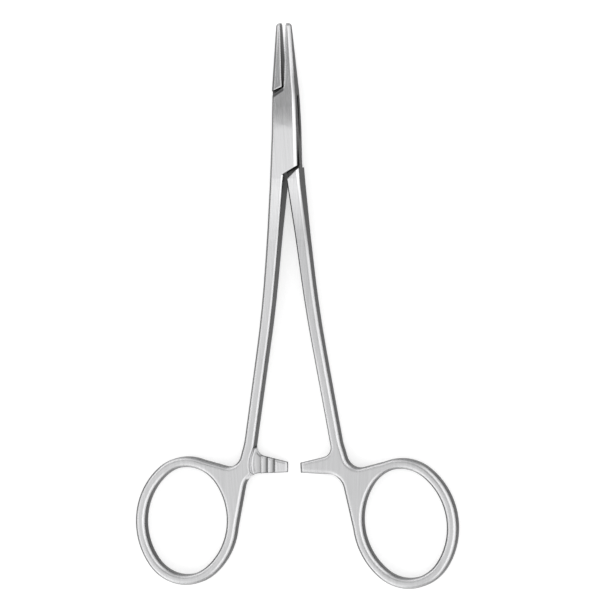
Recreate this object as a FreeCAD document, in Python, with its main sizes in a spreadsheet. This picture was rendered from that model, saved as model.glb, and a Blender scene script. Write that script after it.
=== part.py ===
import FreeCAD, Part
import math
import os
import Sketcher

# Surgical needle holder with a box lock, two finger rings and a ratchet.
# Lengths are millimetres and angles are degrees. Each arm is drawn in its closed pose:
# the jaws meet on the plane x = 0, +Y points to the jaw tips, the pivot is on the z axis
# and the middle of the thickness is z = 0. Its placement then opens it to the rest pose
# and lifts it, so that the back face of the lock lies on the plane z = 0.

SIZES = {
    # Whole tool
    "rest_opening": 3.0,
    "edge_bevel": 0.6,
    "jaw_bevel": 0.7,
    "shank_inner_bevel": 0.4,
    # Box lock
    "lock_thickness": 5.0,
    "lock_half_width": 3.33,
    "cheek_half_width": 3.17,
    "lock_side_radius": 100.0,
    "lock_end": 10.8,
    "lock_end_slant": 2.1,
    "web_thickness": 1.5,
    "web_play": 0.05,
    "slot_end_play": 0.12,
    "arm_gap": 0.05,
    "jaw_shoulder_setback": 0.15,
    "jaw_shoulder_slant": 1.1,
    "shank_shoulder_setback": 1.7,
    "shank_shoulder_slant": 3.2,
    # Pivot pin
    "pin_diameter": 2.4,
    "pin_head_diameter": 3.0,
    "pin_head_depth": 0.4,
    "pin_running_clearance": 0.04,
    # Jaws
    "jaw_length": 26.75,
    "jaw_root_width": 2.95,
    "jaw_root_place": 9.0,
    "jaw_side_radius": 60.0,
    "jaw_tip_width": 1.24,
    "jaw_tip_radius": 0.95,
    "jaw_tip_thickness": 1.8,
    "jaw_taper_start": 3.0,
    "jaw_taper_radius": 85.0,
    "grip_gap": 0.04,
    "grip_length": 13.8,
    "groove_pitch": 0.6,
    "groove_depth": 0.12,
    "groove_mouth": 0.42,
    "first_groove": 0.9,
    # Shanks
    "shank_root_place": 13.0,
    "shank_root_outer": 3.68,
    "shank_root_radius": 60.0,
    "shoulder_radius": 40.0,
    "shank_waist_place": 26.0,
    "shank_waist_thickness": 3.7,
    "waist_radius": 60.0,
    "shank_width": 2.78,
    "shank_bend_place": 45.0,
    "shank_bend_offset": 4.65,
    "shank_bend_radius": 300.0,
    "shank_foot_rise": 4.1,
    "shank_foot_offset": 9.45,
    "shank_foot_radius": 12.0,
    # Finger rings
    "ring_side": 26.65,
    "ring_back": 98.9,
    "ring_half_width": 11.05,
    "ring_half_length": 13.7,
    "ring_end_radius": 9.3,
    "ring_bar": 2.6,
    "ring_thickness": 3.1,
    "level_rise": 12.6,
    "level_radius": 1500.0,
    "ring_lean": 6.5,
    "neck_inset": 0.25,
    "neck_depth": 2.85,
    "neck_fillet": 3.6,
    "neck_join_angle": 5.82,
    "flank_join_angle": 4.66,
    "join_inset": 0.09,
    # Ratchet
    "bar_drop": 1.85,
    "bar_tip_height": 2.55,
    "bar_overlap": 0.2,
    "bar_root_rise": 3.05,
    "bar_root_drop": 2.0,
    "bar_fillet": 2.5,
    "flank_inset": 2.55,
    "flank_fillet": 4.2,
    "nose_length": 3.17,
    "tooth_pitch": 1.87,
    "tooth_crest": 0.25,
    "tooth_valley": 0.35,
    "recess_reach": 9.85,
    "recess_drop": 1.0,
    "recess_radius": 7.3,
    "recess_rise": 6.0,
    "recess_fall": 4.4,
    "recess_top_inset": 2.3,
    "recess_foot_inset": 1.25,
}

TOOTH_COUNT = 3
STOCK = 1.0
BEYOND = 6.0

doc = FreeCAD.newDocument("NeedleHolder")
sheet = doc.addObject("Spreadsheet::Sheet", "Sizes")
for row, (alias, number) in enumerate(SIZES.items(), 1):
    sheet.set(f"A{row}", alias)
    sheet.set(f"B{row}", str(number))
    sheet.setAlias(f"B{row}", alias)
doc.recompute()


class Term:
    """A number together with the sheet expression that gives it."""

    def __init__(self, value, text):
        self.value = value
        self.text = text

    def joined(self, sign, other, value):
        return Term(value, f"({self.text} {sign} {term(other).text})")

    def __add__(self, other):
        return self.joined("+", other, self.value + term(other).value)

    def __sub__(self, other):
        return self.joined("-", other, self.value - term(other).value)

    def __mul__(self, other):
        return self.joined("*", other, self.value * term(other).value)

    def __truediv__(self, other):
        return self.joined("/", other, self.value / term(other).value)

    def __neg__(self):
        return term(0) - self


def term(thing):
    return thing if isinstance(thing, Term) else Term(float(thing), repr(float(thing)))


def size(alias):
    """The sheet's value under this alias."""
    return Term(float(sheet.get(alias)), f"Sizes.{alias}")


def sine(angle):
    return Term(math.sin(math.radians(angle.value)), f"sin({angle.text})")


def cosine(angle):
    return Term(math.cos(math.radians(angle.value)), f"cos({angle.text})")


def between(first, last, share):
    """The value at this share of the way from first to last."""
    return first + (last - first) * share


# Sketches and features

def origin_plane(body, role):
    return next(plane for plane in body.Origin.OriginFeatures if plane.Role == role)


def new_sketch(body, name, role="XY_Plane", place=(0, 0, 0), turn=0, axis=(0, 0, 1)):
    """A sketch on a plane of the body, moved by place and turned about its own axis."""
    sketch = body.newObject("Sketcher::SketchObject", name)
    sketch.AttachmentSupport = [(origin_plane(body, role), "")]
    sketch.MapMode = "FlatFace"
    shift = [term(part) for part in place]
    angle = term(turn)
    sketch.AttachmentOffset = FreeCAD.Placement(
        FreeCAD.Vector(*[part.value for part in shift]),
        FreeCAD.Rotation(FreeCAD.Vector(*axis), angle.value),
    )
    for axis, part in zip("xyz", shift):
        sketch.setExpression(f"AttachmentOffset.Base.{axis}", part.text)
    if angle.value:
        sketch.setExpression("AttachmentOffset.Rotation.Angle", angle.text)
    return sketch


def bind(sketch, kind, ends, amount):
    """Adds a dimension and binds it to its sheet expression."""
    amount = term(amount)
    index = sketch.addConstraint(Sketcher.Constraint(kind, *ends, amount.value))
    sketch.setExpression(f"Constraints[{index}]", amount.text)


def fix_point(sketch, shape, end, spot):
    """Holds a point of the sketch at its distances from the origin."""
    bind(sketch, "DistanceX", (-1, 1, shape, end), spot[0])
    bind(sketch, "DistanceY", (-1, 1, shape, end), spot[1])


def draw_outline(sketch, corners):
    """A closed outline through corners (x, y) or rounded corners (x, y, radius)."""
    count = len(corners)
    spots = [FreeCAD.Vector(term(c[0]).value, term(c[1]).value, 0) for c in corners]
    starts, ends, centres = [], [], []
    for i, corner in enumerate(corners):
        before = (spots[i - 1] - spots[i]).normalize()
        after = (spots[(i + 1) % count] - spots[i]).normalize()
        if len(corner) == 2:
            starts.append(spots[i])
            ends.append(spots[i])
            centres.append(None)
            continue
        half = before.getAngle(after) / 2
        radius = term(corner[2]).value
        starts.append(spots[i] + before * (radius / math.tan(half)))
        ends.append(spots[i] + after * (radius / math.tan(half)))
        centres.append(spots[i] + (before + after).normalize() * (radius / math.sin(half)))
    lines = [
        sketch.addGeometry(Part.LineSegment(ends[i], starts[(i + 1) % count]))
        for i in range(count)
    ]
    links = []
    rounded = []
    for i in range(count):
        if centres[i] is None:
            links.append(Sketcher.Constraint("Coincident", lines[i - 1], 2, lines[i], 1))
            continue
        arc, first = add_arc(sketch, centres[i], starts[i], ends[i])
        mark = sketch.addGeometry(Part.Point(spots[i]), True)
        links.append(Sketcher.Constraint("Tangent", lines[i - 1], 2, arc, first))
        links.append(Sketcher.Constraint("Tangent", lines[i], 1, arc, 3 - first))
        links.append(Sketcher.Constraint("PointOnObject", mark, 1, lines[i - 1]))
        links.append(Sketcher.Constraint("PointOnObject", mark, 1, lines[i]))
        rounded.append((i, arc, mark))
    sketch.addConstraint(links)
    for i, arc, mark in rounded:
        bind(sketch, "Radius", (arc,), corners[i][2])
        fix_point(sketch, mark, 1, corners[i])
    for i in range(count):
        if centres[i] is None:
            fix_point(sketch, lines[i], 1, corners[i])


def add_arc(sketch, centre, start, end):
    """An arc from start to end, and which of its ends is the start."""
    arm_in = start - centre
    arm_out = end - centre
    first = math.atan2(arm_in.y, arm_in.x)
    last = math.atan2(arm_out.y, arm_out.x)
    forward = arm_in.cross(arm_out).z > 0
    if not forward:
        first, last = last, first
    circle = Part.Circle(centre, FreeCAD.Vector(0, 0, 1), arm_in.Length)
    return sketch.addGeometry(Part.ArcOfCircle(circle, first, last)), 1 if forward else 2


def oval_arcs():
    """The finger opening's oval: the radius of its side arcs, how far their centres are
    from its middle, and how far the centres of its end arcs are from its middle."""
    half_width = size("ring_half_width")
    end_radius = size("ring_end_radius")
    end = size("ring_half_length") - end_radius
    side_radius = (end * end + half_width * half_width - end_radius * end_radius) \
        / ((half_width - end_radius) * 2)
    return side_radius, side_radius - half_width, end


def draw_oval(sketch, grow=0):
    """The finger opening's oval of four tangent arcs, grown by this much all round."""
    grow = term(grow)
    side_radius, side, end = oval_arcs()
    side_radius = side_radius + grow
    end_radius = size("ring_end_radius") + grow
    turn = math.atan2(end.value, side.value)
    half_turn, full_turn = math.pi, 2 * math.pi

    def arc(x, y, radius, first, last):
        circle = Part.Circle(FreeCAD.Vector(x, y, 0), FreeCAD.Vector(0, 0, 1), radius)
        return sketch.addGeometry(Part.ArcOfCircle(circle, first, last))

    right = arc(-side.value, 0, side_radius.value, -turn, turn)
    top = arc(0, end.value, end_radius.value, turn, half_turn - turn)
    left = arc(side.value, 0, side_radius.value, half_turn - turn, half_turn + turn)
    bottom = arc(0, -end.value, end_radius.value, half_turn + turn, full_turn - turn)
    sketch.addConstraint([
        Sketcher.Constraint("Tangent", right, 2, top, 1),
        Sketcher.Constraint("Tangent", top, 2, left, 1),
        Sketcher.Constraint("Tangent", left, 2, bottom, 1),
        Sketcher.Constraint("Tangent", bottom, 2, right, 1),
    ])
    fix_point(sketch, right, 3, (-side, 0))
    fix_point(sketch, left, 3, (side, 0))
    fix_point(sketch, top, 3, (0, end))
    bind(sketch, "Radius", (top,), end_radius)
    bind(sketch, "DistanceY", (-1, 1, bottom, 3), -end)


def draw_circle(sketch, diameter):
    diameter = term(diameter)
    circle = Part.Circle(FreeCAD.Vector(0, 0, 0), FreeCAD.Vector(0, 0, 1), diameter.value / 2)
    shape = sketch.addGeometry(circle)
    sketch.addConstraint(Sketcher.Constraint("Coincident", shape, 3, -1, 1))
    bind(sketch, "Diameter", (shape,), diameter)


def volume(body):
    return body.Tip.Shape.Volume if body.Tip else 0.0


def extrude(body, kind, name, sketch, length, way="Symmetric", flip=False):
    """A pad or pocket of the sketch, refused when it changes nothing."""
    before = volume(body)
    feature = body.newObject(f"PartDesign::{kind}", name)
    feature.Profile = sketch
    feature.SideType = way
    feature.Reversed = flip
    feature.Type = "Length"
    feature.setExpression("Length", term(length).text)
    doc.recompute()
    changed = feature.Shape.Volume - before
    if (changed <= 0) if kind == "Pad" else (changed >= 0):
        raise RuntimeError(f"{name} changes nothing")
    return feature


def edge_names(shape, wanted):
    return [f"Edge{i}" for i, edge in enumerate(shape.Edges, 1) if wanted(edge)]


def middle(edge):
    return edge.valueAt((edge.FirstParameter + edge.LastParameter) / 2)


def rises(face, spot):
    """How far the face's outward direction points along z at this spot."""
    return abs(face.normalAt(*face.Surface.parameter(spot)).z)


def is_rim(shape, edge):
    """True for an edge between the front or back of the arm and its upright side."""
    faces = shape.ancestorsOfType(edge, Part.Face)
    if len(faces) != 2:
        return False
    slopes = sorted(rises(face, middle(edge)) for face in faces)
    return slopes[0] < 0.01 and slopes[1] > 0.9


# Places along the tool, as distances below the pivot

def ring_top():
    return size("ring_back") - size("ring_half_length") - size("ring_bar")


def shank_foot():
    return ring_top() - size("shank_foot_rise")


def bar_place():
    return ring_top() + size("bar_drop")


def neck_join():
    """Where the neck's outline runs into the ring's end arc, just inside its outer edge."""
    end = oval_arcs()[2]
    lean = size("ring_lean")
    angle = lean + size("neck_join_angle")
    reach = size("ring_end_radius") + size("ring_bar") - size("join_inset")
    return (size("ring_side") - end * sine(lean) - reach * sine(angle),
            end * cosine(lean) + reach * cosine(angle) - size("ring_back"))


def flank_join():
    """Where the outline under the ratchet bar runs into the ring's side arc."""
    side_radius, side, end = oval_arcs()
    lean = size("ring_lean")
    angle = lean + size("flank_join_angle")
    reach = side_radius + size("ring_bar") - size("join_inset")
    return (size("ring_side") + side * cosine(lean) - reach * cosine(angle),
            side * sine(lean) - reach * sine(angle) - size("ring_back"))


# Shapes that both arms share

def new_body(name, side):
    """A body that lies with one arm: side is 1 for the arm whose handle is on +x, and
    -1 for the one whose handle is on -x."""
    body = doc.addObject("PartDesign::Body", name)
    body.Label = name
    body.Placement = FreeCAD.Placement(
        FreeCAD.Vector(0, 0, 0), FreeCAD.Rotation(FreeCAD.Vector(0, 0, 1), side)
    )
    body.setExpression("Placement.Base.z", (size("lock_thickness") / 2).text)
    body.setExpression("Placement.Rotation.Angle", (size("rest_opening") / 2 * side).text)
    return body


def lock_side(place):
    """Half the width of the closed lock at this distance below the pivot."""
    root = (size("shank_root_outer") - size("lock_half_width")) / size("shank_root_place")
    return size("lock_half_width") + root * place


def shank_inner(place):
    """The shank's inner side at this distance below the pivot, under its bend."""
    bend, foot = size("shank_bend_place"), shank_foot()
    share = (term(place) - bend) / (foot - bend)
    offset = between(size("shank_bend_offset"), size("shank_foot_offset"), share)
    return offset - size("shank_width") / 2


def blank_outline(side, end):
    """Jaw, lock, shank and ratchet bar in plan, as far as the finger ring.

    The lock's slanted ends are this far from the pivot. The outline's last straight
    stretches run into the ring just inside its outer edge, nearly along it.
    """
    corner = end - size("lock_end_slant")
    grip = size("grip_gap") / 2
    tip = size("jaw_length")
    half_shank = size("shank_width") / 2
    bend = -size("shank_bend_place")
    bar = -bar_place()
    half_bar = size("bar_tip_height") / 2
    bar_top = bar + size("bar_root_rise")
    ring_flank = size("ring_side") - size("ring_half_width") - size("ring_bar")
    corners = [
        (-grip, tip),
        (-size("jaw_tip_width"), tip, size("jaw_tip_radius")),
        (-size("jaw_root_width"), size("jaw_root_place"), size("jaw_side_radius")),
        (-size("lock_half_width"), 0, size("lock_side_radius")),
        (-lock_side(corner), -corner),
        (size("arm_gap"), -end),
        (size("shank_bend_offset") - half_shank, bend, size("shank_bend_radius")),
        (shank_inner(-bar_top), bar_top, size("bar_fillet")),
        (-size("bar_overlap"), bar + half_bar),
        (-size("bar_overlap"), bar - half_bar),
        (ring_flank - size("flank_inset"), bar - size("bar_root_drop"),
         size("flank_fillet")),
        flank_join(),
        neck_join(),
        (ring_flank - size("neck_inset"), -(ring_top() + size("neck_depth")),
         size("neck_fillet")),
        (size("shank_foot_offset") + half_shank, -shank_foot(), size("shank_foot_radius")),
        (size("shank_bend_offset") + half_shank, bend, size("shank_bend_radius")),
        (size("shank_root_outer"), -size("shank_root_place"), size("shank_root_radius")),
        (size("cheek_half_width"), 0, size("lock_side_radius")),
        (size("cheek_half_width"), corner),
        (-grip, end),
    ]
    return [(term(c[0]) * side, *c[1:]) for c in corners]


def thickness_outline(face):
    """What is ground off above the arm in side view: y runs along it, z is height."""
    lock = size("lock_thickness") / 2
    tip = size("jaw_tip_thickness") / 2
    start = size("jaw_taper_start")
    end = size("jaw_length")
    fall = (lock - tip) / (end - start)
    waist_place = size("shank_waist_place")
    waist = size("shank_waist_thickness") / 2
    ring = size("ring_thickness") / 2
    far = size("ring_back") + size("ring_half_length") + size("ring_bar") + BEYOND
    corners = [
        (end + 1, tip - fall),
        (start, lock, size("jaw_taper_radius")),
        (-size("shank_root_place"), lock, size("shoulder_radius")),
        (-waist_place, waist, size("waist_radius")),
        (size("level_rise") - ring_top(), ring, size("level_radius")),
        (-far, ring),
        (-far, lock + STOCK * 2),
        (end + 1, lock + STOCK * 2),
    ]
    return [(c[0], term(c[1]) * face, *c[2:]) for c in corners]


def build_blank(body, side, end):
    """The forging before its lock is cut: jaw, lock, shank, ratchet bar and ring."""
    stock = size("lock_thickness") + STOCK
    sketch = new_sketch(body, "BlankPlan")
    draw_outline(sketch, blank_outline(side, end))
    extrude(body, "Pad", "Blank", sketch, stock)

    grind_faces(body)
    bevel_rims(body, side, end)
    add_ring(body, side, stock)


def grind_faces(body):
    """Grinds the front and the back to the tool's thickness, which changes along it."""
    wide = (size("ring_side") + size("ring_half_width") + size("ring_bar") + BEYOND) * 2
    for face, name in ((1, "Front"), (-1, "Back")):
        sketch = new_sketch(body, f"{name}Profile", role="YZ_Plane")
        draw_outline(sketch, thickness_outline(face))
        extrude(body, "Pocket", f"{name}Taper", sketch, wide)


def add_ring(body, side, stock):
    """The finger ring: a bevelled bar swept along its oval middle line."""
    lean = size("ring_lean") * side
    line = new_sketch(body, "RingLine", turn=lean,
                      place=(size("ring_side") * side, -size("ring_back"), 0))
    draw_oval(line, size("ring_bar") / 2)
    extrude(body, "Pocket", "RingRoom", line, stock + 1)

    section = new_sketch(body, "RingSection", role="XZ_Plane", turn=lean, axis=(0, 1, 0),
                         place=(size("ring_side") * side, 0, size("ring_back")))
    inner = size("ring_half_width")
    outer = inner + size("ring_bar")
    half = size("ring_thickness") / 2
    bevel = size("edge_bevel")
    draw_outline(section, [
        (inner + bevel, half), (outer - bevel, half), (outer, half - bevel),
        (outer, bevel - half), (outer - bevel, -half), (inner + bevel, -half),
        (inner, bevel - half), (inner, half - bevel),
    ])
    ring = body.newObject("PartDesign::AdditivePipe", "Ring")
    ring.Profile = section
    ring.Spine = line
    doc.recompute()


def bevel_rims(body, side, end):
    """Bevels the long edges, but not the grip face nor the lock's slanted ends. The jaw
    and its side of the lock have a wide bevel, and the inside of the shank a narrow one."""
    grip = size("grip_gap").value
    far_end = end.value
    corner = far_end - size("lock_end_slant").value
    bar_top = size("bar_tip_height").value / 2 - bar_place().value

    def is_end(spot):
        away = spot.x * side
        on_grip = abs(away) < grip and spot.y > 0
        on_upper_end = away > -grip and corner < spot.y < far_end
        on_lower_end = away < grip * 2 and -far_end < spot.y < -corner
        return on_grip or on_upper_end or on_lower_end

    def is_jaw_side(spot, facing):
        return facing < 0 and spot.y > -corner

    def is_shank_inside(spot, facing):
        return facing < 0 and bar_top < spot.y < -far_end

    def is_rest(spot, facing):
        return not is_jaw_side(spot, facing) and not is_shank_inside(spot, facing)

    groups = (("JawBevel", "jaw_bevel", is_jaw_side), ("Bevel", "edge_bevel", is_rest),
              ("ShankBevel", "shank_inner_bevel", is_shank_inside))
    for name, alias, belongs in groups:
        base = body.Tip
        shape = base.Shape

        def wanted(edge):
            if not is_rim(shape, edge):
                return False
            spot = middle(edge)
            upright = min(shape.ancestorsOfType(edge, Part.Face),
                          key=lambda face: rises(face, spot))
            facing = upright.normalAt(*upright.Surface.parameter(spot)).x * side
            return not is_end(spot) and belongs(spot, facing)

        bevel = body.newObject("PartDesign::Chamfer", name)
        bevel.Base = (base, edge_names(shape, wanted))
        bevel.setExpression("Size", f"Sizes.{alias}")
        doc.recompute()


def cut_grip(body, side):
    """Cross grooves over the front of the grip face."""
    grip = size("grip_gap") / 2
    depth = size("groove_depth")
    mouth = size("groove_mouth")
    first = size("jaw_length") - size("first_groove")
    face = -grip
    corners = [
        (face + depth, first + mouth),
        (face - depth, first),
        (face + depth, first - mouth),
    ]
    sketch = new_sketch(body, "GroovePlan")
    draw_outline(sketch, [(x * side, y) for x, y in corners])
    groove = extrude(body, "Pocket", "Groove", sketch, size("lock_thickness"))
    pattern = body.newObject("PartDesign::LinearPattern", "Grooves")
    pattern.Originals = [groove]
    pattern.Direction = (next(
        axis for axis in body.Origin.OriginFeatures if axis.Role == "Y_Axis"), [""])
    pattern.Reversed = True
    pattern.Mode = "Spacing"
    pattern.setExpression("Offset", "Sizes.groove_pitch")
    pattern.setExpression("Occurrences", "floor(Sizes.grip_length / Sizes.groove_pitch)")
    body.Tip = pattern
    doc.recompute()


def cut_ratchet(body, side, face):
    """The recess and the teeth, on the front (face 1) or the back (face -1) of the bar."""
    crest = size("tooth_crest")
    valley = -size("tooth_valley")
    tip = -size("bar_overlap")
    last = tip + size("nose_length") + size("tooth_pitch") * (TOOTH_COUNT - 1)
    reach = size("recess_reach")
    place = -bar_place()
    below = place - size("bar_tip_height") / 2 - size("edge_bevel")
    above = place + size("bar_root_rise") + 1
    deep = size("lock_thickness")

    sketch = new_sketch(body, "RecessPlan", place=(0, 0, valley * face))
    wall = -(ring_top() + size("recess_drop"))
    top = wall + size("recess_rise")
    foot = wall - size("recess_fall")
    recess = [
        (last, top), (reach - size("recess_top_inset"), top),
        (reach, wall, size("recess_radius")),
        (reach - size("recess_foot_inset"), foot), (last, foot),
    ]
    draw_outline(sketch, [(c[0] * side, *c[1:]) for c in recess])
    extrude(body, "Pocket", "Recess", sketch, deep, "One side", face > 0)

    sketch = new_sketch(body, "LandPlan", place=(0, 0, crest * face))
    land = [(tip - 1, above), (last, above), (last, below - 1), (tip - 1, below - 1)]
    draw_outline(sketch, [(x * side, y) for x, y in land])
    extrude(body, "Pocket", "Land", sketch, deep, "One side", face > 0)

    # Each tooth falls steeply towards its own ring and gently towards the bar's tip.
    flanks = [tip + size("nose_length") + size("tooth_pitch") * n for n in range(TOOTH_COUNT)]
    nose = [(tip - 1, crest + 1), (flanks[0], crest + 1), (flanks[0], crest),
            (tip, valley), (tip - 1, valley)]
    for number in range(TOOTH_COUNT):
        gullet = nose if number == 0 else [
            (flanks[number - 1], crest + 1), (flanks[number - 1], valley),
            (flanks[number], crest), (flanks[number], crest + 1)]
        sketch = new_sketch(body, f"Tooth{number}Profile", "XZ_Plane",
                            place=(0, 0, bar_place()))
        draw_outline(sketch, [(x * side, z * face) for x, z in gullet])
        across = (size("bar_root_rise") + size("bar_root_drop")) * 2
        extrude(body, "Pocket", f"Tooth{number}", sketch, across)


def pin_outline():
    """Half of the rivet's section: a straight shaft with a countersunk head at each end."""
    shaft = size("pin_diameter") / 2
    head = size("pin_head_diameter") / 2
    half = size("lock_thickness") / 2
    neck = half - size("pin_head_depth")
    return [(0, -half), (head, -half), (shaft, -neck), (shaft, neck), (head, half), (0, half)]


# The three pieces

def make_box_arm():
    """The arm with the box: its lock is a slot between two cheeks."""
    side, face = -1, 1
    body = new_body("box_arm", side)
    end = size("lock_end")
    build_blank(body, side, end)

    # The slot runs slantwise through the lock, from one side to the other.
    play = size("slot_end_play")
    half_height = size("web_thickness") / 2 + size("web_play")
    wall = end - play
    corner = end - size("lock_end_slant")
    upper_fall = size("lock_end_slant") / size("cheek_half_width")
    lower_fall = size("lock_end_slant") / lock_side(corner)
    slot = [
        (0, wall), (BEYOND, wall - upper_fall * BEYOND), (BEYOND, -end - BEYOND),
        (0, -end - BEYOND), (0, -wall), (-BEYOND, lower_fall * BEYOND - wall),
        (-BEYOND, end + BEYOND), (0, end + BEYOND),
    ]
    sketch = new_sketch(body, "SlotPlan")
    draw_outline(sketch, slot)
    extrude(body, "Pocket", "Slot", sketch, half_height * 2)

    sketch = new_sketch(body, "PinSeatProfile", "XZ_Plane")
    draw_outline(sketch, pin_outline())
    groove = body.newObject("PartDesign::Groove", "PinSeat")
    groove.Profile = sketch
    groove.ReferenceAxis = (sketch, ["V_Axis"])
    groove.Angle = 360
    doc.recompute()

    cut_ratchet(body, side, face)
    cut_grip(body, side)
    return body


def make_slot_arm():
    """The arm that passes through the box: its lock is a thin web."""
    side, face = 1, -1
    body = new_body("slot_arm", side)
    end = size("lock_end") - size("slot_end_play") * 2
    build_blank(body, side, end)

    web = size("web_thickness") / 2
    jaw_shoulder = size("lock_end") + size("jaw_shoulder_setback")
    jaw_fall = size("jaw_shoulder_slant") / size("jaw_root_width")
    shank_shoulder = size("lock_end") + size("shank_shoulder_setback")
    shank_fall = size("shank_shoulder_slant") / size("shank_root_outer")
    cheek = [
        (-BEYOND, jaw_shoulder - jaw_fall * BEYOND), (0, jaw_shoulder),
        (BEYOND, jaw_shoulder), (BEYOND, shank_fall * BEYOND - shank_shoulder),
        (-1, -shank_shoulder - shank_fall), (-BEYOND, -shank_shoulder - shank_fall),
    ]
    for name, height, flip in (("FrontCheek", web, True), ("BackCheek", -web, False)):
        sketch = new_sketch(body, f"{name}Plan", place=(0, 0, height))
        draw_outline(sketch, cheek)
        extrude(body, "Pocket", name, sketch, size("lock_thickness"), "One side", flip)

    sketch = new_sketch(body, "BorePlan")
    draw_circle(sketch, size("pin_diameter") + size("pin_running_clearance") * 2)
    extrude(body, "Pocket", "Bore", sketch, size("lock_thickness"))

    cut_ratchet(body, side, face)
    cut_grip(body, side)
    return body


def make_pivot_pin():
    """The rivet: it sits tight in the box arm and is ground flush with both cheeks."""
    body = new_body("pivot_pin", -1)
    sketch = new_sketch(body, "PinProfile", "XZ_Plane")
    draw_outline(sketch, pin_outline())
    turned = body.newObject("PartDesign::Revolution", "Pin")
    turned.Profile = sketch
    turned.ReferenceAxis = (sketch, ["V_Axis"])
    turned.Angle = 360
    doc.recompute()
    grind_faces(body)
    return body


def check_document():
    for thing in doc.Objects:
        if "Invalid" in thing.State or "Error" in thing.State:
            raise RuntimeError(f"{thing.Name} failed: {thing.State}")


def export(bodies):
    os.makedirs("parts", exist_ok=True)
    for body in bodies:
        shape = body.Shape
        if shape.isNull() or not shape.isValid() or len(shape.Solids) != 1:
            raise RuntimeError(f"{body.Label} is not one valid solid")
    for body in bodies:
        body.Shape.exportStep(f"parts/{body.Label}.step")


pieces = [make_box_arm(), make_slot_arm(), make_pivot_pin()]
doc.recompute()
check_document()
export(pieces)
for piece in pieces:
    box = piece.Shape.BoundBox
    print(piece.Label, round(piece.Shape.Volume, 2), "mm3", [
        round(edge, 2) for edge in (box.XMin, box.XMax, box.YMin, box.YMax, box.ZMin, box.ZMax)])
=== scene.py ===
import math

import bpy
from mathutils import Matrix, Vector

MM = 0.001

# The middle of the tool's thickness, above the paper.
MIDDLE = 2.5 * MM

# The camera is far away, to the right of straight above and a little towards the jaw
# tips. Angles are in degrees, and image lengths are in pixels of a 600 px image.
LEAN_RIGHT = 20.5
LEAN_TO_TIPS = 2.9
ROLL = 1.34
DISTANCE = 1.2
PIXEL = 0.2497 * MM
IMAGE_SIDE = 600
PIVOT_IN_IMAGE = (286.4, 130.35)
PIVOT = Vector((0, 0, MIDDLE))
SENSOR_WIDTH = 36

# The steel: its colour, the roughness of its ground faces, how much rougher its upright
# sides are, and the painted shade on those sides and on the edges that face left.
STEEL = (0.86, 0.86, 0.87, 1)
BLACK = (0, 0, 0, 1)
FACE_ROUGHNESS = 0.18
SIDE_ROUGHER = 0.12
SIDE_PAINTED_SHADE = 0.065
LEFT_EDGE_PAINTED_SHADE = 0.18

# The marks in the steel: how many there are to a metre across, along and through the
# tool, how much fine detail they have, and how strong that detail is.
GRINDING = ((9000, 260, 9000), 3.0, 0.6)
STREAKS = ((2600, 40, 2600), 3.0, 0.6)
SMUDGES = ((160, 90, 160), 5.0, 0.6)
SCRATCHES = ((5200, 60, 5200), 1.0, 0.55)
# The turn of each piece's marks, in degrees.
GRAIN_TURNS = {"box_arm": -4.0, "slot_arm": 4.0, "pivot_pin": -4.0}
# Nearly all of a noise lies between these values, and only its peaks are scratches.
NOISE_RANGE = (0.3, 0.7)
SCRATCH_PEAKS = (0.66, 0.70)
# What the marks do to the roughness, to the tone and to the relief.
SMUDGE_ROUGHNESS = (-0.02, 0.03)
GRINDING_ROUGHNESS = (-0.02, 0.02)
SCRATCH_ROUGHNESS = 0.05
SMUDGE_TONE = 0.94
STREAK_TONE = 0.90
GRINDING_RELIEF = 0.6
SCRATCH_RELIEF = -0.5
RELIEF_STRENGTH = 0.10
RELIEF_DEPTH = 0.01 * MM

# Where each part's look starts along the tool, and where the change to it is complete.
# The rings' look starts high on the shanks, which turn slowly rounder towards the rings.
JAW_START = 10 * MM
JAW_REACHED = JAW_START + 2 * MM
SHANK_START = -11 * MM
SHANK_REACHED = SHANK_START - 3 * MM
RING_START = -25 * MM
RING_REACHED = -65 * MM
BAR_START = -76 * MM
BAR_REACHED = -77 * MM

# How softly the edges are rounded on the lock, the jaws, the shanks and the rings. Within
# FLUSH_RADIUS of the rivet's axis they aren't, because it is ground flush, and beyond the
# margin they are again.
LOCK_EDGE = 0.3 * MM
JAW_EDGE = 0.7 * MM
SHANK_EDGE = 0.5 * MM
RING_EDGE = 1.0 * MM
FLUSH_RADIUS = 2.0 * MM
FLUSH_MARGIN = 0.6 * MM
# How many rays look for near edges and for gaps.
NEAR_SAMPLES = 8

# How far a surface faces up where it counts as upright and where it no longer does, on
# crisp parts and on worn ones, and how far left where the left edges' painted shade starts
# and is full, on the lock, shanks and jaws and on the rings.
CRISP_UPRIGHT = (0.25, 0.68)
WORN_UPRIGHT = (0.40, 0.82)
FACING_LEFT = (-0.1, -0.45)
RING_FACING_LEFT = (-0.30, -0.52)
# The gripping edges are kept free of the left edges' painted shade: they lie right of
# here on the jaws.
GRIP_PLACE = (-1.8 * MM, -1.2 * MM)
GRIP_REACHED = JAW_START + 1 * MM

# Painted shade on the faces of each arm's shank and of the rings: how bright they are,
# next to the lock's. On the rings it ends where they turn away from straight up.
SHANK_PAINTED_SHADES = {"box_arm": 0.86, "slot_arm": 0.68, "pivot_pin": 1.0}
RING_PAINTED_SHADE = 0.72
RING_SHADE_TURN = (0.995, 0.95)

# Painted shade in narrow gaps: how wide a gap counts, how open it is where the shade is
# full and where it ends, and its tone. Walls show less of this painted shade than faces.
CREVICE = 1.6 * MM
CREVICE_OPEN = (0.35, 0.85)
CREVICE_SHADE = 0.06
WALL_HOLLOW_SHADE_LIMIT = 0.45
# The painted shade deep in the lock: the two ends of its stretch along the tool, each
# from where it starts to where it is full, and the depths from the middle where it is
# full and ends.
LOCK_FOOT = (-32 * MM, -17 * MM)
LOCK_TOP = (16 * MM, 10 * MM)
LOCK_DEPTHS = (1.0 * MM, 1.5 * MM)
LOCK_SHADE = 0.25
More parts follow.
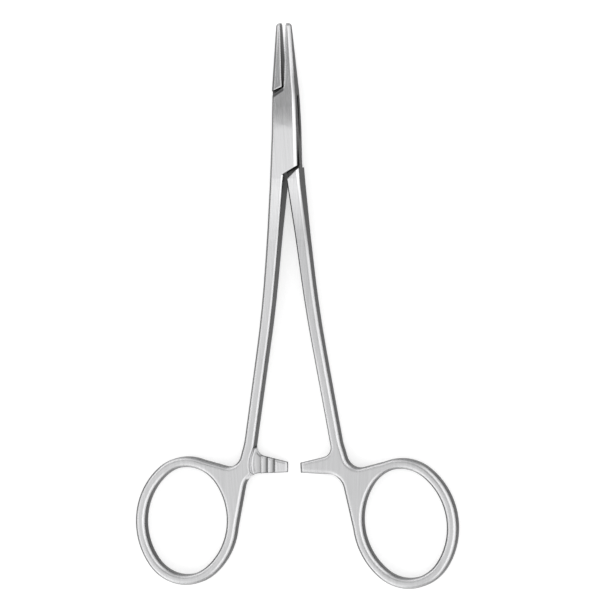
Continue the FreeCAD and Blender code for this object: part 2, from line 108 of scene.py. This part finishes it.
# The painted shade between the ratchet's teeth and in the recess beside them, which is
# spared most of the upright sides' painted shade. Reaches are from the tool's middle line,
# and depths and heights are from the middle of the thickness.
BAR_HEIGHTS = (0.6 * MM, 0.5 * MM)
TEETH_FROM = 5.1 * MM
TEETH_TO = 8.9 * MM
TOOTH_DEPTHS = (-0.35 * MM, 0.15 * MM)
TOOTH_SHADE = 0.02
RECESS_TO = 12.6 * MM
RECESS_BRIGHT = 11.4 * MM
RECESS_SHADE = 0.45
RECESS_TOP = -79.8 * MM
RECESS_FOOT = -87.3 * MM
RECESS_HEIGHTS = (1.4 * MM, 1.2 * MM)
RECESS_SPARED = 0.8
# How far these zones take to end, and how far the recess does along the tool.
ZONE_EDGE = 0.1 * MM
RECESS_EDGE = 0.3 * MM
# The box's open end beside the jaw: a point of its edge, the way out of it, how wide the
# painted shadow along it is and where that shadow ends across the tool.
BOX_END = (0.3 * MM, 10.8 * MM)
BOX_END_WAY = (-0.529, 0.849)
BOX_END_STRIP = 0.7 * MM
STRIP_EDGE = 0.15 * MM
STRIP_END = (0.35 * MM, 0.15 * MM)

# The paper's own colour, the rest of its white, and the sheet's size and middle.
PAPER = (0.7, 0.7, 0.7, 1)
PAPER_GLOW = 0.54
WHITE = (1, 1, 1, 1)
SHEET_SIDE = 3.0
SHEET_MIDDLE = (0, -0.04, 0)

# The room's light as (direction, share of full): across the tool, along it and upward.
ROOM_LEVEL = 3.2
ROOM_ACROSS = [
    (-1.0, 0.40), (-0.8, 0.52), (-0.6, 0.52), (-0.34, 0.43), (-0.2, 0.34), (0.0, 0.34),
    (0.2, 0.42), (0.34, 0.47), (0.55, 0.45), (0.8, 0.50), (0.9, 0.58), (0.97, 0.58),
    (1.0, 0.30),
]
ROOM_ALONG = [
    (-1.0, 0.30), (-0.6, 1.0), (-0.3, 1.0), (-0.1, 1.0), (0.0, 0.88), (0.08, 0.27),
    (0.2, 0.32), (0.35, 0.75), (0.6, 0.85), (1.0, 0.20),
]
ROOM_UPWARD = [(-1.0, 0.35), (0.0, 0.40), (0.12, 0.50), (0.3, 0.95), (0.5, 1.0), (1.0, 1.0)]
# The dark stretch beyond the tips ends between these directions across the tool.
DARK_ENDS = ((0.0, 0.3), (-0.5, -0.75))


# Camera

def add_camera():
    lean = math.radians(LEAN_RIGHT)
    back = Vector((math.sin(lean), math.tan(math.radians(LEAN_TO_TIPS)), math.cos(lean)))
    back.normalize()
    right = Vector((math.cos(lean), 0, -math.sin(lean)))
    up = back.cross(right)
    roll = math.radians(ROLL)
    image_right = right * math.cos(roll) - up * math.sin(roll)
    image_up = right * math.sin(roll) + up * math.cos(roll)
    across = (PIVOT_IN_IMAGE[0] - IMAGE_SIDE / 2) * PIXEL
    above = (IMAGE_SIDE / 2 - PIVOT_IN_IMAGE[1]) * PIXEL
    middle = PIVOT - image_right * across - image_up * above

    data = bpy.data.cameras.new("camera")
    data.sensor_width = SENSOR_WIDTH
    data.lens = data.sensor_width * DISTANCE / (IMAGE_SIDE * PIXEL)
    camera = bpy.data.objects.new("camera", data)
    bpy.context.scene.collection.objects.link(camera)
    turn = Matrix((image_right, image_up, back)).transposed().to_4x4()
    camera.matrix_world = Matrix.Translation(middle + back * DISTANCE) @ turn
    bpy.context.scene.camera = camera


# Node helpers

def new_material(name):
    material = bpy.data.materials.new(name)
    material.use_nodes = True
    material.node_tree.nodes.clear()
    return material, material.node_tree


def fill(tree, socket, value):
    """Sets an input to a constant, or links it to another node's socket."""
    if isinstance(value, bpy.types.NodeSocket):
        tree.links.new(value, socket)
    else:
        socket.default_value = value


def add_node(tree, kind, inputs=None, **settings):
    node = tree.nodes.new(f"ShaderNode{kind}")
    for name, value in settings.items():
        setattr(node, name, value)
    for name, value in (inputs or {}).items():
        fill(tree, node.inputs[name], value)
    return node


def combine(tree, operation, first, second=0.0):
    node = add_node(tree, "Math", operation=operation)
    fill(tree, node.inputs[0], first)
    fill(tree, node.inputs[1], second)
    return node.outputs["Value"]


def product(tree, first, *others):
    for other in others:
        first = combine(tree, "MULTIPLY", first, other)
    return first


def size_of(tree, value):
    return combine(tree, "ABSOLUTE", value)


def rest_of(tree, share):
    return combine(tree, "SUBTRACT", 1.0, share)


def ramp(tree, value, low, high, out_low=0.0, out_high=1.0):
    """Runs from one result to the other between two values, and is level outside them."""
    node = add_node(tree, "MapRange", {
        "Value": value, "From Min": low, "From Max": high, "To Min": out_low,
        "To Max": out_high})
    return node.outputs["Result"]


def between(tree, value, low, high, edge):
    """1 where the value lies between low and high, and 0 outside."""
    above = ramp(tree, value, low - edge, low)
    below = ramp(tree, value, high, high + edge, 1.0, 0.0)
    return product(tree, above, below)


def blend(tree, share, first, second):
    """The first value where the share is 0, and the second where it is 1."""
    kept = product(tree, rest_of(tree, share), first)
    return combine(tree, "ADD", kept, product(tree, share, second))


def shaded(tree, share, tone):
    """1 where the share is 0, and the tone where it is 1."""
    return ramp(tree, share, 0.0, 1.0, 1.0, tone)


def noise(tree, coordinates, counts, detail, strength):
    stretched = add_node(tree, "Mapping", {"Vector": coordinates, "Scale": counts})
    node = add_node(tree, "TexNoise", {
        "Vector": stretched.outputs["Vector"], "Scale": 1.0, "Detail": detail,
        "Roughness": strength})
    return node.outputs["Fac"]


def varied(tree, pattern, low, high):
    """Turns a noise's usual range into the range from low to high."""
    return ramp(tree, pattern, *NOISE_RANGE, low, high)


# Zones of the tool

def above_middle(tree, parts):
    return combine(tree, "SUBTRACT", parts["Z"], MIDDLE)


def bar_zone(tree, parts):
    """1 near the middle of the thickness, where the ratchet bars are cut, from the bars to
    the ends of the rings, and 0 elsewhere."""
    height = size_of(tree, above_middle(tree, parts))
    return product(tree, ramp(tree, parts["Y"], BAR_START, BAR_REACHED),
                   ramp(tree, height, *BAR_HEIGHTS))


def teeth_zone(tree, parts):
    """1 from the bars' tips to the end of the teeth, and 0 elsewhere."""
    reach = size_of(tree, parts["X"])
    return product(tree, bar_zone(tree, parts),
                   ramp(tree, reach, TEETH_TO + ZONE_EDGE, TEETH_TO))


def recess_zone(tree, parts):
    """1 in the recess between the teeth and the shank, and 0 elsewhere."""
    height = size_of(tree, above_middle(tree, parts))
    across = between(tree, size_of(tree, parts["X"]), TEETH_TO + ZONE_EDGE, RECESS_TO,
                     ZONE_EDGE)
    along = between(tree, parts["Y"], RECESS_FOOT, RECESS_TOP, RECESS_EDGE)
    return product(tree, across, along, ramp(tree, height, *RECESS_HEIGHTS))


# Edges of the steel

def edge_radius(tree, place, parts):
    """Edges are softest on the finger rings and crispest on the lock. The rivet is ground
    flush, so no edge shows there."""
    along = parts["Y"]
    on_jaw = ramp(tree, along, JAW_START, JAW_REACHED)
    on_shank = ramp(tree, along, SHANK_START, SHANK_REACHED)
    on_ring = ramp(tree, along, RING_START, RING_REACHED)
    radius = blend(tree, on_jaw, LOCK_EDGE, JAW_EDGE)
    radius = blend(tree, on_shank, radius, SHANK_EDGE)
    radius = blend(tree, on_ring, radius, RING_EDGE)
    flat = add_node(tree, "VectorMath", {0: place, 1: (1, 1, 0)}, operation="MULTIPLY")
    away = add_node(tree, "VectorMath", {0: flat.outputs[0]}, operation="LENGTH")
    off_rivet = ramp(tree, away.outputs["Value"], FLUSH_RADIUS, FLUSH_RADIUS + FLUSH_MARGIN)
    return product(tree, radius, off_rivet)


def worn_surface(tree, place, parts):
    """The surface's direction with its edges rounded, and the same direction's parts as
    the piece itself has them."""
    rounded = add_node(tree, "Bevel", {"Radius": edge_radius(tree, place, parts)},
                       samples=NEAR_SAMPLES).outputs["Normal"]
    facing = add_node(tree, "VectorTransform", {"Vector": rounded}, vector_type="NORMAL",
                      convert_from="WORLD", convert_to="OBJECT").outputs["Vector"]
    return rounded, add_node(tree, "SeparateXYZ", {"Vector": facing}).outputs


def upright_share(tree, parts, steep, on_ring):
    """1 on the upright sides, which are rougher and carry painted shade. It starts sooner on
    the rings and the jaws, whose edges are worn, and the recess beside the ratchet's teeth
    has little of it."""
    on_jaw = ramp(tree, parts["Y"], JAW_START, JAW_REACHED)
    worn = combine(tree, "MAXIMUM", on_ring, on_jaw)
    full, none = (blend(tree, worn, crisp, soft)
                  for crisp, soft in zip(CRISP_UPRIGHT, WORN_UPRIGHT))
    side = ramp(tree, steep, full, none, 1.0, 0.0)
    in_recess = product(tree, RECESS_SPARED, recess_zone(tree, parts))
    return product(tree, side, rest_of(tree, in_recess))


def left_painted_shade_share(tree, parts, facing, on_ring):
    """1 on the edges that face left, which get painted shade, but for the gripping edges of
    the jaws.
    """
    start, full = (blend(tree, on_ring, arm, ring)
                   for arm, ring in zip(FACING_LEFT, RING_FACING_LEFT))
    left = ramp(tree, facing["X"], start, full)
    grip = product(tree, ramp(tree, parts["Y"], JAW_START, GRIP_REACHED),
                   ramp(tree, parts["X"], *GRIP_PLACE))
    return product(tree, left, rest_of(tree, grip))


# Painted shade in hollows

def painted_hollow_shade(tree, parts, upward):
    """Painted shade: in narrow gaps, deep in the box lock, towards the valley of each
    ratchet tooth and in the recess beside the teeth."""
    open_air = add_node(tree, "AmbientOcclusion", {"Distance": CREVICE},
                        samples=NEAR_SAMPLES).outputs["AO"]
    hollow_shade = ramp(tree, open_air, *CREVICE_OPEN, CREVICE_SHADE, 1.0)
    depth = product(tree, above_middle(tree, parts), upward)

    on_lock = product(tree, ramp(tree, parts["Y"], *LOCK_FOOT),
                      ramp(tree, parts["Y"], *LOCK_TOP))
    in_lock = ramp(tree, depth, *LOCK_DEPTHS, LOCK_SHADE, 1.0)
    hollow_shade = product(tree, hollow_shade, blend(tree, on_lock, 1.0, in_lock))

    reach = size_of(tree, parts["X"])
    on_teeth = product(tree, bar_zone(tree, parts),
                       between(tree, reach, TEETH_FROM, TEETH_TO, ZONE_EDGE))
    teeth = ramp(tree, depth, *TOOTH_DEPTHS, TOOTH_SHADE, 1.0)
    hollow_shade = product(tree, hollow_shade, blend(tree, on_teeth, 1.0, teeth))

    recess = ramp(tree, reach, TEETH_TO, RECESS_BRIGHT, RECESS_SHADE, 1.0)
    return blend(tree, recess_zone(tree, parts), hollow_shade, recess)


def box_end_painted_shadow(tree, parts):
    """1 on the strip along the box's open end beside the jaw, which gets a painted shadow.
    """
    across = product(tree, combine(tree, "SUBTRACT", parts["X"], BOX_END[0]), BOX_END_WAY[0])
    along = product(tree, combine(tree, "SUBTRACT", parts["Y"], BOX_END[1]), BOX_END_WAY[1])
    out = combine(tree, "ADD", across, along)
    strip = ramp(tree, out, -BOX_END_STRIP - STRIP_EDGE, -BOX_END_STRIP + STRIP_EDGE)
    return product(tree, strip, ramp(tree, parts["X"], *STRIP_END))


# Materials

def steel_marks(tree, place, grain_turn):
    """The grinding lines, the streaks, the smudges from handling and a few scratches."""
    turned = add_node(tree, "Mapping", {
        "Vector": place, "Rotation": (0, 0, math.radians(grain_turn))}).outputs["Vector"]
    grinding, streaks, smudges, scratches = (
        noise(tree, turned, *marks) for marks in (GRINDING, STREAKS, SMUDGES, SCRATCHES))
    return grinding, streaks, smudges, ramp(tree, scratches, *SCRATCH_PEAKS)


def steel_roughness(tree, grinding, smudges, scratches, side):
    low, high = (FACE_ROUGHNESS + change for change in SMUDGE_ROUGHNESS)
    rough = varied(tree, smudges, low, high)
    rough = combine(tree, "ADD", rough, varied(tree, grinding, *GRINDING_ROUGHNESS))
    rough = combine(tree, "ADD", rough, product(tree, side, SIDE_ROUGHER))
    return combine(tree, "ADD", rough, product(tree, scratches, SCRATCH_ROUGHNESS))


def zone_painted_shade(tree, parts, steep, on_ring, shank_painted_shade):
    """Painted shade along the tool: how bright the faces are. The ratchet's cut faces are as
    bright as the lock's."""
    on_shank = ramp(tree, parts["Y"], SHANK_START, RING_START)
    level = blend(tree, on_shank, 1.0, shank_painted_shade)
    ring_unshaded = ramp(tree, steep, *RING_SHADE_TURN)
    level = blend(tree, on_ring, level, blend(tree, ring_unshaded, RING_PAINTED_SHADE, 1.0))
    cut = combine(tree, "MAXIMUM", teeth_zone(tree, parts), recess_zone(tree, parts))
    return blend(tree, cut, level, 1.0)


def satin_steel(name, grain_turn, shank_painted_shade, is_box):
    """Ground stainless steel: fine grinding lines along the tool, softened edges, faint
    smudges from handling and a few hairline scratches. The upright sides, which the
    grinding belt misses, are rougher. Painted shade darkens those sides, the edges that
    face left, the hollows and the faces of the shanks and rings."""
    material, tree = new_material(name)
    place = add_node(tree, "TexCoord").outputs["Object"]
    parts = add_node(tree, "SeparateXYZ", {"Vector": place}).outputs
    grinding, streaks, smudges, scratches = steel_marks(tree, place, grain_turn)

    rounded, facing = worn_surface(tree, place, parts)
    steep = size_of(tree, facing["Z"])
    on_ring = ramp(tree, parts["Y"], RING_START, RING_REACHED)
    side = upright_share(tree, parts, steep, on_ring)
    left = left_painted_shade_share(tree, parts, facing, on_ring)
    hollow_shade = painted_hollow_shade(tree, parts, facing["Z"])
    # Walls take less of the hollows' painted shade than faces.
    hollow_shade = blend(tree, side, hollow_shade, ramp(tree, hollow_shade, 0.0, 1.0, WALL_HOLLOW_SHADE_LIMIT, 1.0))

    # The colour carries painted shade on upright sides, left-facing edges, hollows and the
    # shank and ring faces; smudges and streaks are the steel's own tone.
    tone = product(tree, varied(tree, smudges, SMUDGE_TONE, 1.0),
                   varied(tree, streaks, STREAK_TONE, 1.0),
                   shaded(tree, side, SIDE_PAINTED_SHADE), shaded(tree, left, LEFT_EDGE_PAINTED_SHADE),
                   hollow_shade,
                   zone_painted_shade(tree, parts, steep, on_ring, shank_painted_shade))
    if is_box:
        # A painted shadow along the box's open end.
        tone = product(tree, tone, shaded(tree, box_end_painted_shadow(tree, parts), LOCK_SHADE))
    colour = add_node(tree, "MixRGB", {
        "Fac": tone, "Color1": BLACK, "Color2": STEEL}).outputs["Color"]

    height = combine(tree, "ADD", product(tree, grinding, GRINDING_RELIEF),
                     product(tree, scratches, SCRATCH_RELIEF))
    relief = add_node(tree, "Bump", {
        "Strength": RELIEF_STRENGTH, "Distance": RELIEF_DEPTH, "Height": height,
        "Normal": rounded})
    surface = add_node(tree, "BsdfPrincipled", {
        "Base Color": colour, "Metallic": 1.0,
        "Roughness": steel_roughness(tree, grinding, smudges, scratches, side),
        "Normal": relief.outputs["Normal"]})
    output = add_node(tree, "OutputMaterial")
    tree.links.new(surface.outputs["BSDF"], output.inputs["Surface"])
    return material


def paper(name):
    """White paper: its own colour is a pale grey, which keeps the tool's shadow, and the
    rest of its white is there for the camera and for reflections only."""
    material, tree = new_material(name)
    lit = add_node(tree, "BsdfDiffuse", {"Color": PAPER})
    ray = add_node(tree, "LightPath").outputs
    reflected = combine(tree, "MAXIMUM", ray["Is Glossy Ray"], ray["Is Transmission Ray"])
    seen = combine(tree, "MAXIMUM", ray["Is Camera Ray"], reflected)
    glow = add_node(tree, "Emission", {
        "Color": WHITE, "Strength": product(tree, seen, PAPER_GLOW)})
    both = add_node(tree, "AddShader", {0: lit.outputs[0], 1: glow.outputs[0]})
    output = add_node(tree, "OutputMaterial")
    tree.links.new(both.outputs[0], output.inputs["Surface"])
    return material


def dress(frame):
    """Each piece gets its own steel, so that the arms' grinding lines don't line up."""
    for node, turn in GRAIN_TURNS.items():
        piece = frame["nodes"][node]
        piece.data.materials.clear()
        piece.data.materials.append(satin_steel(
            f"satin_steel_{node}", turn, SHANK_PAINTED_SHADES[node], node == "box_arm"))


# Stage

def add_floor():
    bpy.ops.mesh.primitive_plane_add(size=SHEET_SIDE, location=SHEET_MIDDLE)
    floor = bpy.context.object
    floor.name = "floor"
    floor.data.materials.append(paper("white_paper"))


def curve(tree, value, points):
    """A smooth curve through points (value, result), with values from -1 to 1."""
    node = add_node(tree, "FloatCurve", {"Value": ramp(tree, value, -1.0, 1.0)})
    line = node.mapping.curves[0]
    for _ in range(len(points) - 2):
        line.points.new(0.5, 0.5)
    for point, (place, result) in zip(line.points, points):
        point.location = ((place + 1) / 2, result)
    node.mapping.update()
    return node.outputs["Value"]


def add_room():
    """A soft room without lamps, whose light depends on the direction alone. It is full
    overhead, brighter behind the rings than beyond the jaw tips, where a dark stretch lies
    just past straight up, and dimmer towards the horizon. Directions run from -1 to 1."""
    world = bpy.data.worlds.new("room")
    world.use_nodes = True
    bpy.context.scene.world = world
    tree = world.node_tree
    tree.nodes.clear()
    way = add_node(tree, "TexCoord").outputs["Generated"]
    parts = add_node(tree, "SeparateXYZ", {"Vector": way}).outputs
    across = curve(tree, parts["X"], ROOM_ACROSS)
    along = curve(tree, parts["Y"], ROOM_ALONG)
    for start, end in DARK_ENDS:
        along = combine(tree, "MAXIMUM", along, ramp(tree, parts["X"], start, end))
    upward = curve(tree, parts["Z"], ROOM_UPWARD)
    strength = product(tree, across, along, upward, ROOM_LEVEL)
    background = add_node(tree, "Background", {"Strength": strength})
    output = add_node(tree, "OutputWorld")
    tree.links.new(background.outputs[0], output.inputs["Surface"])


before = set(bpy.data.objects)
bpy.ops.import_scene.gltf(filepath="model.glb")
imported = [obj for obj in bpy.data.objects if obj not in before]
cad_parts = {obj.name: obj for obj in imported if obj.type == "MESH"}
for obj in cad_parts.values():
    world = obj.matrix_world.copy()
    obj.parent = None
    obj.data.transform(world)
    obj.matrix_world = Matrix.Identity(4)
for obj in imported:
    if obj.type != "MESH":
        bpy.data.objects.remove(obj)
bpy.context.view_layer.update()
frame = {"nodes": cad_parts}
dress(frame)
add_floor()
add_room()
add_camera()
bpy.context.scene.view_settings.view_transform = "Standard"
